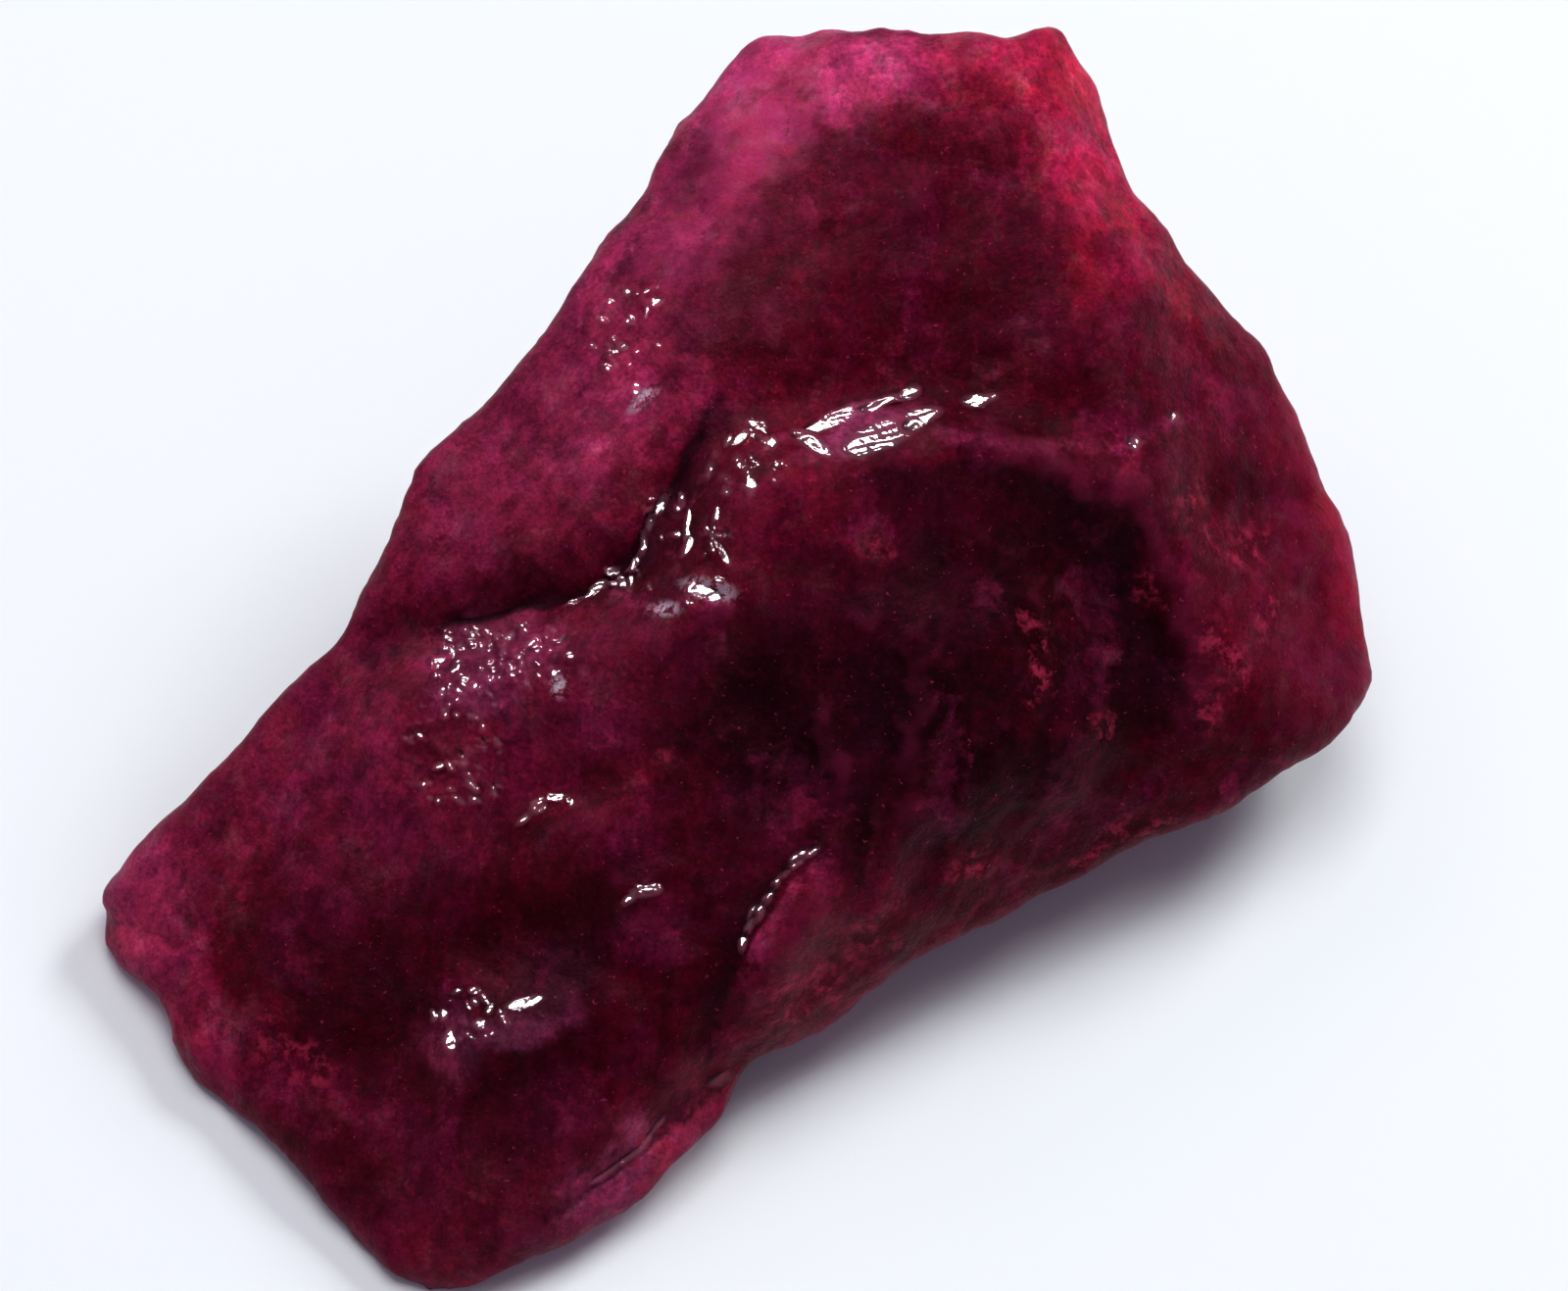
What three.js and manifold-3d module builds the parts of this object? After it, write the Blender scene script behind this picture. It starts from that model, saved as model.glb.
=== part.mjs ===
// A rough ruby: one shard of cloudy corundum, broken out of its rock and never cut.
//
// The stone is described on its broad broken face, in millimetres: u runs to the right along
// the face, v up it and w straight out of it. The face leans back from level, and the stone
// rests on a flat parting plane below. Its whole surface is one function of a point in space,
// below zero inside the stone and above zero outside it, and the mesh is drawn onto its zero.
import * as THREE from 'three';
import { mergeVertices } from 'three/addons/utils/BufferGeometryUtils.js';
import Module from 'manifold-3d';

const wasm = await Module();
wasm.setup();

// How the face lies: its lean from level in degrees, and the height of its middle over the base.
const FACE_LEAN = 30;
const FACE_HEIGHT = 9;

// Where the middle of the stone's footprint lies from the middle of the face, along x and y.
const MIDDLE_X = -1.6;
const MIDDLE_Y = -0.1;

// The tone of the stone's skin.
const SKIN_COLOUR = 0x5a0f28;
const SKIN_ROUGHNESS = 0.4;

// The stone's edge seen square on to the face, going clockwise from the top left corner.
const OUTLINE = [
  [-1.5, 21.2], [1.3, 20.2], [4.5, 19.8], [6.5, 20.0], [8.0, 21.9], [9.2, 21.2], [10.2, 18.2],
  [10.6, 15.6], [11.3, 13.6], [13.6, 11.6], [15.4, 9.5], [16.6, 6.8], [17.9, 4.0], [18.6, 1.2],
  [19.1, -0.7], [18.9, -1.9], [17.8, -2.9], [14.2, -5.0], [11.9, -6.1], [10.1, -6.9], [7.2, -8.2],
  [3.6, -10.2], [0.9, -12.2], [-1.6, -13.4], [-1.7, -14.9], [-3.4, -16.1], [-5.0, -18.0],
  [-7.9, -19.4], [-10.7, -20.9], [-12.6, -20.8], [-13.8, -18.7], [-16.2, -15.8],
  [-19.3, -13.9], [-19.8, -11.7], [-21.9, -10.1], [-23.3, -8.3], [-20.5, -5.9], [-17.8, -3.7],
  [-16.2, -1.6], [-14.0, 0.4], [-12.6, 3.6], [-11.6, 6.2], [-9.2, 8.2], [-7.8, 9.7],
  [-6.6, 11.9], [-5.2, 13.4], [-3.7, 16.2], [-2.6, 18.9],
];
const OUTLINE_EASE = 0.2;

// The broken facets that make up the face: a point on each, and the way it looks.
const FACETS = {
  top: { at: [5, 13, 1.6], looks: [0.10, 0.28, 1] },
  upperRight: { at: [12.4, 12.9, -2.2], looks: [1.25, 0.7, 1] },
  right: { at: [17.3, 5.2, -3.4], looks: [0.95, 0.25, 1] },
  scoopSide: { at: [8, -3, 3.4], looks: [0.42, -0.10, 1] },
  lowerLeft: { at: [-10, -11, 4.0], looks: [-0.06, -0.04, 1] },
  leftSlope: { at: [-14, -5, 3.2], looks: [-0.48, 0.45, 1] },
  leftEnd: { at: [-20.3, -10.9, 0.9], looks: [-0.79, -0.42, 1] },
  foot: { at: [-16.2, -15.8, 2.0], looks: [-0.765, -0.506, 1] },
  middle: { at: [-8, 4.5, 1.7], looks: [-0.45, 0.12, 1] },
  upperLeft: { at: [-6.2, 12.2, -0.4], looks: [-0.82, 0.741, 1] },
};

// The two walls along the lower right edge, which meet in a valley and not in a ridge.
const EDGE_WALLS = [
  { at: [6.8, -8.5, -0.2], looks: [0.62, -0.86, 1] },
  { at: [-5, -18, 1.3], looks: [0.955, -0.786, 1] },
];

// The facets of the sides, which the face hides. These lie and look as x, y and z of the resting
// stone. Nearer to the rim than the given depths they stand back, so that they leave it whole.
const SIDES = {
  back: { at: [3, 18.0, 14.5], looks: [0.05, 0.95, -0.22] },
  rightBack: { at: [9.1, 17.3, 9], looks: [0.80, 0.60, -0.20] },
  rightTip: { at: [16.3, 7.8, 4], looks: [0.90, 0.43, -0.30] },
  under: { at: [5.6, -8.2, 3], looks: [0.62, -0.78, -1] },
};

// The two facets of the left side, which meet in a valley too.
const LEFT_SIDES = [
  { at: [-6.6, 10.3, 12], looks: [-0.76, 0.60, -0.20] },
  { at: [-17.1, -0.1, 4], looks: [-0.62, 0.65, -0.30] },
];
const SIDES_STAND_BACK = 1.7;
const SIDES_FROM = [0.2, 3.0];

// How round the ridges between facets are, the valley between the walls, and the stone's rim.
const RIDGE_ROUND = 1.0;
const VALLEY_ROUND = 0.8;
const RIM_ROUND = 0.4;
const SIDE_ROUND = 0.7;

// Right behind the rim the sides draw in by this share of the depth behind the face, more
// towards the stone's high end. The depth is taken from this point of the face.
const TAPER = 0.42;
const TAPER_MORE = 0.12;
const TAPER_TOWARDS = [-0.30, 0.95];
const TAPER_MIDDLE = [-1.0, -0.5];

// The rough stone goes this far below the flat base, so that the base is a clean cut. Points
// this near to the cut are put on it, so that it leaves no slivers.
const BASE_SPARE = 1.3;
const BASE_NEAR = 0.3;
const GROUND = [100, 100, 20];

// The ledge that crosses the face: the rock steps up on its lower side.
const LEDGE = [
  [-14.2, 0.2], [-12.5, 0.3], [-10.0, 0.8], [-8.1, 1.3], [-5.0, 2.7], [-4.0, 3.7], [-3.4, 5.0],
  [-2.6, 6.1], [-1.7, 6.7], [0.9, 7.5], [2.5, 8.0], [4.1, 8.4], [6.6, 8.0], [8.1, 7.3],
  [9.7, 6.8], [11.2, 6.8], [13.8, 7.8],
];
const LEDGE_RISE_AT = [-14.2, -11.2, -3.4, -0.3, 3.0, 5.0, 8.0, 11.0, 13.8];
const LEDGE_RISE = [0, 1.2, 1.3, 1.4, 1.0, 1.0, 0.8, 0.5, 0];
const LEDGE_RUN = 2.2;
const LEDGE_FADE = [2.4, 6.0];
const LEDGE_CUT = { depth: 0.5, above: 1.3, below: 0.5 };

// The shell-shaped scoop broken out of the right half, crisp on its upper right side only.
const SCOOP = { at: [6.8, -0.6], radii: [6.4, 7.2], turn: 12 };
const SCOOP_DEPTH_AT = [-60, -10, 40, 80, 115, 150];
const SCOOP_DEPTH = [0, 0.9, 1.7, 1.5, 0.9, 0];
const SCOOP_WALL = 1.9;
const SCOOP_FADE = [2.4, 6.2];

// Shallow hollows and low lumps of the face: place, radii, turn in degrees, and height.
const SWELLS = [
  { at: [-7.5, -9.4], radii: [4.2, 2.4], turn: 10, height: -0.8 },
  { at: [-3.4, -10.7], radii: [3.0, 3.0], turn: 0, height: -0.7 },
  { at: [-8.6, -12.4], radii: [2.9, 1.5], turn: 20, height: 0.9 },
  { at: [-4.1, -8.6], radii: [1.6, 1.3], turn: 0, height: 0.55 },
  { at: [-6.6, -5.8], radii: [2.1, 1.1], turn: 25, height: 0.55 },
  { at: [-0.5, 5.7], radii: [1.3, 1.2], turn: 0, height: 0.5 },
  { at: [-3.1, 0.9], radii: [1.9, 1.0], turn: 15, height: 0.4 },
];

// Open cracks in the face: route, depth and half width.
const CRACKS = [
  {
    route: [[-3.1, 0.6], [-1.4, -1.0], [0.0, -2.7], [0.7, -4.1], [0.9, -4.9]],
    depth: 0.6,
    width: 0.55,
  },
  {
    route: [[0.6, 0.6], [2.2, -0.2], [2.9, -1.3], [2.7, -3.2], [2.7, -5.4], [2.4, -7.2]],
    depth: 0.75,
    width: 0.6,
  },
];

// The crease whose right side stands proud, and the groove with the strip below it.
const CREASE = [
  [1.0, -6.2], [-0.2, -7.4], [-1.1, -8.8], [-1.6, -10.2], [-1.9, -11.3], [-2.3, -12.6],
];
const CREASE_RISE_AT = [-12.6, -11.3, -8.8, -7.4, -5.8];
const CREASE_RISE = [0, 0.6, 0.8, 0.6, 0];
const CREASE_RUN = 1.0;
const CREASE_FADE = [1.5, 5.5];
const CREASE_CUT = { depth: 0.35, width: 0.4 };
const GROOVE = [[-1.8, -13.5], [-3.0, -14.6], [-4.1, -15.5], [-5.9, -16.9], [-7.8, -18.2]];
const GROOVE_RISE_AT = [-7.8, -5.9, -3.0, -1.5];
const GROOVE_RISE = [0, 0.6, 0.7, 0];
const GROOVE_RUN = 0.8;
const GROOVE_STEP = 0.6;
const GROOVE_CUT = { depth: 0.5, width: 0.45 };

// The uneven skin: how far facets and routes wander, how deep the shell-shaped chips are on the
// face and behind the rim, and the small grain on all of it. Each has its size and its seed.
const WANDER = [
  { size: 4.6, by: 0.50, seeds: [21, 22] },
  { size: 1.7, by: 0.18, seeds: [23, 24] },
];
const CHIPS = { size: 5.6, seed: 11, onFace: 0.26, more: 0.55, from: 0.8, to: 5.0, level: 0.42 };
const GRAIN = [
  { size: 1.9, by: 0.12, seed: 5 },
  { size: 0.9, by: 0.07, seed: 6 },
];

// The mesh: how finely the ball that it starts from is parted, the flat disc inside the stone
// that its rays leave, and how often its points are spread out evenly again.
const BALL_DETAIL = 22;
const DISC = { at: [-1, 0, 5.7], tilt: 10, reach: [18, 16, 8], inner: 0.5 };
const RAY_LENGTH = 40;
const RAY_HALVINGS = 24;
const SPREAD_ROUNDS = 12;
const SPREAD_SHARE = 0.6;
const FINAL_STEPS = 4;
const STEP_LIMIT = 0.6;
const SLOPE_STEP = 0.04;

const { degToRad } = THREE.MathUtils;
const LEAN_SIN = Math.sin(degToRad(FACE_LEAN));
const LEAN_COS = Math.cos(degToRad(FACE_LEAN));

function clamp(value, low, high) {
  return Math.min(Math.max(value, low), high);
}

// 0 up to a, 1 from b on, and a smooth rise between them.
function ramp(x, a, b) {
  const t = clamp((x - a) / (b - a), 0, 1);
  return t * t * (3 - 2 * t);
}

// The height at x of straight lines through the points (xs, ys), level beyond both ends.
function through(x, xs, ys) {
  if (x <= xs[0]) return ys[0];
  for (let i = 1; i < xs.length; i += 1) {
    if (x <= xs[i]) {
      return ys[i - 1] + ((ys[i] - ys[i - 1]) * (x - xs[i - 1])) / (xs[i] - xs[i - 1]);
    }
  }
  return ys[ys.length - 1];
}

// The larger of two values, with the corner between them rounded, and the smaller one.
function roundedMax(a, b, round) {
  const t = clamp(0.5 + (0.5 * (a - b)) / round, 0, 1);
  return b + (a - b) * t + round * t * (1 - t);
}

function roundedMin(a, b, round) {
  return -roundedMax(-a, -b, round);
}

// A fixed scatter of numbers from 0 to 1, one for each cell of a grid.
function scatter(x, y, z, seed) {
  let h = Math.imul(x, 0x27d4eb2d) ^ Math.imul(y, 0x165667b1);
  h ^= Math.imul(z, 0x9e3779b1) ^ Math.imul(seed, 0x85ebca6b);
  h = Math.imul(h ^ (h >>> 15), 0x2c1b3c6d);
  h = Math.imul(h ^ (h >>> 12), 0x297a2d39);
  return ((h ^ (h >>> 15)) >>> 0) / 4294967296;
}

// Soft hills and dips from -1 to 1, one to a cell.
function hills(x, y, z, seed) {
  const cell = [x, y, z].map(Math.floor);
  const share = [x, y, z].map((value, k) => {
    const t = value - cell[k];
    return t * t * t * (t * (t * 6 - 15) + 10);
  });
  let sum = 0;
  for (let corner = 0; corner < 8; corner += 1) {
    const [a, b, c] = [corner & 1, (corner >> 1) & 1, corner >> 2];
    const weight = (a ? share[0] : 1 - share[0]) * (b ? share[1] : 1 - share[1])
      * (c ? share[2] : 1 - share[2]);
    sum += weight * scatter(cell[0] + a, cell[1] + b, cell[2] + c, seed);
  }
  return sum * 2 - 1;
}

// Shallow bowls that meet in sharp edges: 0 in the middle of a bowl, about 1 on an edge.
function bowls(x, y, z, seed) {
  const cell = [x, y, z].map(Math.floor);
  let nearest = Infinity;
  for (let i = cell[0] - 1; i <= cell[0] + 1; i += 1) {
    for (let j = cell[1] - 1; j <= cell[1] + 1; j += 1) {
      for (let k = cell[2] - 1; k <= cell[2] + 1; k += 1) {
        const dx = i + scatter(i, j, k, seed) - x;
        const dy = j + scatter(i, j, k, seed + 1) - y;
        const dz = k + scatter(i, j, k, seed + 2) - z;
        nearest = Math.min(nearest, dx * dx + dy * dy + dz * dz);
      }
    }
  }
  return nearest;
}

// A point of the resting stone, measured on the face.
function onFace(x, y, z) {
  const rise = z - FACE_HEIGHT;
  return [x, LEAN_COS * y + LEAN_SIN * rise, LEAN_COS * rise - LEAN_SIN * y];
}

// How far a point of the face lies outside the outline, or below zero inside it.
function outsideOutline(u, v) {
  let nearest = Infinity;
  let inside = false;
  for (let i = 0; i < OUTLINE.length; i += 1) {
    const [au, av] = OUTLINE[i];
    const [bu, bv] = OUTLINE[(i + 1) % OUTLINE.length];
    const du = bu - au;
    const dv = bv - av;
    const t = clamp(((u - au) * du + (v - av) * dv) / (du * du + dv * dv), 0, 1);
    nearest = Math.min(nearest, (u - au - t * du) ** 2 + (v - av - t * dv) ** 2);
    if (av > v !== bv > v && u < (du * (v - av)) / dv + au) inside = !inside;
  }
  return Math.sqrt(nearest) * (inside ? -1 : 1);
}

// Where a point of the face lies on a route: how far to its right, and what share along it.
function onRoute(u, v, route) {
  let nearest = Infinity;
  let right = 0;
  let along = 0;
  for (let i = 0; i + 1 < route.length; i += 1) {
    const [au, av] = route[i];
    const du = route[i + 1][0] - au;
    const dv = route[i + 1][1] - av;
    const t = clamp(((u - au) * du + (v - av) * dv) / (du * du + dv * dv), 0, 1);
    const distance = Math.hypot(u - au - t * du, v - av - t * dv);
    if (distance < nearest) {
      nearest = distance;
      right = distance * Math.sign((u - au) * dv - (v - av) * du);
      along = (i + t) / (route.length - 1);
    }
  }
  return { right, along };
}

// The size of the oval through a point, against the oval given: 0 in its middle, 1 on it.
function inOval(u, v, oval) {
  const cos = Math.cos(degToRad(oval.turn));
  const sin = Math.sin(degToRad(oval.turn));
  const du = u - oval.at[0];
  const dv = v - oval.at[1];
  return Math.hypot((du * cos + dv * sin) / oval.radii[0], (dv * cos - du * sin) / oval.radii[1]);
}

// A narrow bell: 1 in its middle, falling away within its width.
function bell(x, width) {
  return Math.exp(-((x / width) ** 2));
}

function ledge(u, v) {
  const { right } = onRoute(u, v, LEDGE);
  const rise = through(u, LEDGE_RISE_AT, LEDGE_RISE);
  const step = rise * ramp(right, 0, LEDGE_RUN) * (1 - ramp(right, ...LEDGE_FADE));
  const cut = bell(right, right < 0 ? LEDGE_CUT.above : LEDGE_CUT.below);
  return step - LEDGE_CUT.depth * Math.min(rise, 1) * cut;
}

function scoop(u, v) {
  const inner = (1 - inOval(u, v, SCOOP)) * SCOOP.radii[0];
  const turn = THREE.MathUtils.radToDeg(Math.atan2(v - SCOOP.at[1], u - SCOOP.at[0]));
  const depth = through(turn, SCOOP_DEPTH_AT, SCOOP_DEPTH);
  return -depth * ramp(inner, 0, SCOOP_WALL) * (1 - ramp(inner, ...SCOOP_FADE));
}

function swells(u, v) {
  return SWELLS.reduce((sum, swell) => {
    const out = Math.min(inOval(u, v, swell) ** 2, 1);
    return sum + swell.height * (1 - out) ** 2;
  }, 0);
}

function cracks(u, v) {
  return CRACKS.reduce((sum, crack) => {
    const { right, along } = onRoute(u, v, crack.route);
    return sum - crack.depth * bell(right, crack.width) * Math.sin(Math.PI * along);
  }, 0);
}

function crease(u, v) {
  const right = -onRoute(u, v, CREASE).right;
  const rise = through(v, CREASE_RISE_AT, CREASE_RISE);
  const proud = ramp(right, 0, CREASE_RUN) * (1 - ramp(right, ...CREASE_FADE));
  return rise * (proud - CREASE_CUT.depth * bell(right, CREASE_CUT.width));
}

function groove(u, v) {
  const right = -onRoute(u, v, GROOVE).right;
  const rise = through(u, GROOVE_RISE_AT, GROOVE_RISE);
  const step = GROOVE_STEP * ramp(right, 0, GROOVE_RUN);
  return rise * (step - GROOVE_CUT.depth * bell(right, GROOVE_CUT.width));
}

// How far the face stands proud of its facets at a point.
function relief(u, v) {
  return ledge(u, v) + scoop(u, v) + swells(u, v) + cracks(u, v) + crease(u, v) + groove(u, v);
}

// The distance of a point in front of a facet.
function before(facet, ...point) {
  const [a, b, c] = point.map((value, k) => (value - facet.at[k]) * facet.looks[k]);
  return (a + b + c) / Math.hypot(...facet.looks);
}

// The stone: below zero inside, above zero outside, and about a distance near its surface.
function stone(x, y, z) {
  const [u, v, w] = onFace(x, y, z);
  const wandered = [u, v];
  for (const { size, by, seeds } of WANDER) {
    wandered[0] += by * hills(x / size, y / size, z / size, seeds[0]);
    wandered[1] += by * hills(x / size, y / size, z / size, seeds[1]);
  }
  const walls = EDGE_WALLS.map((wall) => before(wall, ...wandered, w));
  let face = roundedMin(...walls, VALLEY_ROUND);
  for (const facet of Object.values(FACETS)) {
    face = roundedMax(face, before(facet, ...wandered, w), RIDGE_ROUND);
  }
  face -= LEAN_COS * relief(...wandered);

  const depth = Math.max(0, -face);
  const from = [u - TAPER_MIDDLE[0], v - TAPER_MIDDLE[1]];
  const towards = (from[0] * TAPER_TOWARDS[0] + from[1] * TAPER_TOWARDS[1]) / Math.hypot(...from);
  const taper = TAPER + TAPER_MORE * towards;
  const side = (outsideOutline(u, v) - OUTLINE_EASE + taper * depth) / Math.hypot(1, taper);
  const back = SIDES_STAND_BACK * (1 - ramp(depth, ...SIDES_FROM));
  const left = LEFT_SIDES.map((facet) => before(facet, x, y, z));
  const others = Object.values(SIDES).map((facet) => before(facet, x, y, z));
  let value = roundedMax(face, side, RIM_ROUND);
  for (const other of [roundedMin(...left, VALLEY_ROUND), ...others]) {
    value = roundedMax(value, other - back, SIDE_ROUND);
  }
  value = roundedMax(value, -BASE_SPARE - z, SIDE_ROUND);

  const chipped = CHIPS.onFace + CHIPS.more * ramp(depth, CHIPS.from, CHIPS.to);
  const chip = bowls(x / CHIPS.size, y / CHIPS.size, z / CHIPS.size, CHIPS.seed);
  value += chipped * (chip - CHIPS.level);
  for (const { size, by, seed } of GRAIN) {
    value += by * hills(x / size, y / size, z / size, seed);
  }
  return value;
}

// The way in which the stone's value rises fastest at a point, found from four near points.
function slope([x, y, z]) {
  const sum = [0, 0, 0];
  for (const [a, b, c] of [[1, 1, 1], [1, -1, -1], [-1, 1, -1], [-1, -1, 1]]) {
    const value = stone(x + a * SLOPE_STEP, y + b * SLOPE_STEP, z + c * SLOPE_STEP);
    sum[0] += a * value;
    sum[1] += b * value;
    sum[2] += c * value;
  }
  return sum.map((part) => part / (4 * SLOPE_STEP));
}

// Moves a point along a slope onto the stone's surface.
function settle(point, steepest) {
  const steep = Math.hypot(...steepest);
  const move = clamp(stone(...point) / steep, -STEP_LIMIT, STEP_LIMIT);
  return point.map((value, k) => value - (move * steepest[k]) / steep);
}

// Sends a ray from the disc inside the stone, and halves down to where it comes out.
function cast(direction) {
  const tilt = degToRad(DISC.tilt);
  const place = (a, b, c) => [
    DISC.at[0] + a,
    DISC.at[1] + b * Math.cos(tilt) - c * Math.sin(tilt),
    DISC.at[2] + b * Math.sin(tilt) + c * Math.cos(tilt),
  ];
  const [a, b, c] = direction.map((value, k) => value * DISC.reach[k]);
  const start = place(a * DISC.inner, b * DISC.inner, 0);
  const way = place(a, b, c).map((value, k) => value - start[k]);
  const long = RAY_LENGTH / Math.hypot(...way);
  let [near, far] = [0, long];
  for (let i = 0; i < RAY_HALVINGS; i += 1) {
    const middle = (near + far) / 2;
    if (stone(...start.map((value, k) => value + way[k] * middle)) < 0) near = middle;
    else far = middle;
  }
  return start.map((value, k) => value + way[k] * near);
}

// A geometry's points and faces, with points that share a place made one.
function merged(geometry) {
  for (const name of Object.keys(geometry.attributes)) {
    if (name !== 'position') geometry.deleteAttribute(name);
  }
  const whole = mergeVertices(geometry, 1e-5);
  const position = whole.getAttribute('position');
  const points = [];
  for (let i = 0; i < position.count; i += 1) {
    points.push([position.getX(i), position.getY(i), position.getZ(i)]);
  }
  return { points, faces: Array.from(whole.getIndex().array) };
}

// The points that each point shares an edge with.
function neighboursOf(count, faces) {
  const neighbours = Array.from({ length: count }, () => new Set());
  for (let i = 0; i < faces.length; i += 3) {
    for (let k = 0; k < 3; k += 1) {
      neighbours[faces[i + k]].add(faces[i + ((k + 1) % 3)]);
      neighbours[faces[i + k]].add(faces[i + ((k + 2) % 3)]);
    }
  }
  return neighbours.map((set) => Array.from(set));
}

// Draws a ball's points onto the stone, and spreads them evenly over its surface.
function drawnOntoStone(ball) {
  const { points, faces } = merged(ball);
  const neighbours = neighboursOf(points.length, faces);
  let placed = points.map(cast);
  for (let round = 0; round < SPREAD_ROUNDS; round += 1) {
    placed = placed.map((point, i) => {
      const steepest = slope(point);
      const steep = Math.hypot(...steepest);
      const out = steepest.map((part) => part / steep);
      const pull = point.map((value, k) => {
        const sum = neighbours[i].reduce((total, j) => total + placed[j][k], 0);
        return SPREAD_SHARE * (sum / neighbours[i].length - value);
      });
      const lift = pull[0] * out[0] + pull[1] * out[1] + pull[2] * out[2];
      return settle(point.map((value, k) => value + pull[k] - lift * out[k]), steepest);
    });
  }
  for (let i = 0; i < FINAL_STEPS; i += 1) {
    placed = placed.map((point) => settle(point, slope(point)));
  }
  return { points: placed, faces };
}

function solid({ points, faces }) {
  return new wasm.Manifold(new wasm.Mesh({
    numProp: 3,
    vertProperties: new Float32Array(points.flat()),
    triVerts: new Uint32Array(faces),
  }));
}

// The rough stone, cut off flat where it rests.
function restingStone() {
  const rough = drawnOntoStone(new THREE.IcosahedronGeometry(1, BALL_DETAIL));
  for (const point of rough.points) {
    if (Math.abs(point[2]) < BASE_NEAR) point[2] = 0;
  }
  const ground = new THREE.BoxGeometry(...GROUND).translate(0, 0, -GROUND[2] / 2);
  const mesh = solid(rough).subtract(solid(merged(ground))).getMesh();
  const geometry = new THREE.BufferGeometry();
  geometry.setAttribute('position', new THREE.BufferAttribute(mesh.vertProperties, mesh.numProp));
  geometry.setIndex(new THREE.BufferAttribute(mesh.triVerts, 1));
  geometry.translate(-MIDDLE_X, -MIDDLE_Y, 0);
  geometry.computeVertexNormals();
  return geometry;
}

const skin = new THREE.MeshStandardMaterial({
  color: SKIN_COLOUR,
  roughness: SKIN_ROUGHNESS,
  metalness: 0,
  flatShading: true,
});
const ruby = new THREE.Mesh(restingStone(), skin);
ruby.name = 'ruby';

const group = new THREE.Group();
group.add(ruby);

export default group;
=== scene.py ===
from math import radians

import bmesh
import bpy
import numpy as np
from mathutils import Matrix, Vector, noise
from mathutils.bvhtree import BVHTree


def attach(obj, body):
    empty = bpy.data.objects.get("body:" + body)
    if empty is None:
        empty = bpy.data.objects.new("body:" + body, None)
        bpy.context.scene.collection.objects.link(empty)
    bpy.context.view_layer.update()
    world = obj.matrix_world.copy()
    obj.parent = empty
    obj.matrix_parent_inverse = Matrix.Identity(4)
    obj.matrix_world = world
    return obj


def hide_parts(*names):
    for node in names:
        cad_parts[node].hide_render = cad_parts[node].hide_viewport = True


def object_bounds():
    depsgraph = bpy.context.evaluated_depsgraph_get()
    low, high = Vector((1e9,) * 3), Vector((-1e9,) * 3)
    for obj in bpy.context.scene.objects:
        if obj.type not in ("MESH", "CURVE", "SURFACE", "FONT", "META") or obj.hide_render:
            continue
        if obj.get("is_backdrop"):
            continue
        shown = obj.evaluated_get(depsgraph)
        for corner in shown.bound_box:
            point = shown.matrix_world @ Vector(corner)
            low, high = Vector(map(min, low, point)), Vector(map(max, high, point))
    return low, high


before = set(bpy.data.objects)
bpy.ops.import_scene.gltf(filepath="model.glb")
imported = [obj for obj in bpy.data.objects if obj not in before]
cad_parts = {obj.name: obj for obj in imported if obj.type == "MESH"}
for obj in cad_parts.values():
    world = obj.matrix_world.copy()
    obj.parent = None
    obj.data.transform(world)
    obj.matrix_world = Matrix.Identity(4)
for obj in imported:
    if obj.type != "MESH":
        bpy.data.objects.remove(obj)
cad_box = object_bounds()


# The stone's mesh. The real stone is one shard of cloudy corundum with a broad broken face that
# leans back from level. Its solid from the frame is made even, eased, and parted into fine faces,
# finest where small pits and beads will be.
MM = 0.001
FACE_LEAN = radians(30)
FACE_MIDDLE = np.array([1.6, 0.1, 9.0])
EVEN_SIZE = 0.36
EVEN_ROUNDS = 5
BASE_NEAR = 0.12
EASE_ROUNDS = 4
EASE_IN, EASE_OUT = 0.5, -0.52

# The longest edges that may stay, in millimetres, and how the finer ones fade out round their
# places. An edge is parted once it is EDGE_SPARE times too long. How far the skin looks out of the
# broken face says whether an edge lies on that face, on a side or underneath.
CUT_ROUNDS = 3
BASE_EDGE = 0.9
SIDE_EDGE = 0.31
FACE_EDGE = 0.19
FINE_EDGE = 0.082
BEAD_EDGE = 0.065
EDGE_SPARE = 1.35
FINE_FADE = (1.3, 0.9)
BEAD_FADE = (0.25, 0.6)
FACE_FROM, BASE_TO = 0.25, -0.86
LEVEL_DOWN = -0.999

# Where the fine work lies on the face, in millimetres: middle and radii.
FINE_PLACES = {
    "bubbles above the ledge's end": ((-9.2, -0.4), (2.2, 1.8)),
    "bubbles at the left": ((-10.2, -3.2), (2.0, 2.0)),
    "bubbles in the middle": ((-3.6, 3.2), (2.0, 2.3)),
    "riser of the ledge": ((2.2, 6.9), (4.2, 1.9)),
    "lumps at the lower left": ((-9.4, -11.6), (2.2, 1.3)),
    "pits up the left slope": ((-4.9, 9.8), (1.3, 1.8)),
}

# The corners that an even mesh rounds off, drawn out again: middle, way out and reach. Nothing is
# drawn out at the base, and all of it from FOOT_KEPT up.
CORNERS = [
    ((8.3, 19.2), (0.25, 0.60), 1.3),
    ((6.4, 19.2), (0.0, 0.22), 2.2),
    ((-0.6, 19.0), (-0.10, 0.38), 1.5),
    ((-21.4, -7.9), (-0.42, -0.18), 1.2),
    ((7.0, -8.5), (0.13, -0.26), 5.0),
    ((11.9, 13.4), (0.18, 0.16), 1.6),
]
FOOT_KEPT = 2.0

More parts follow.
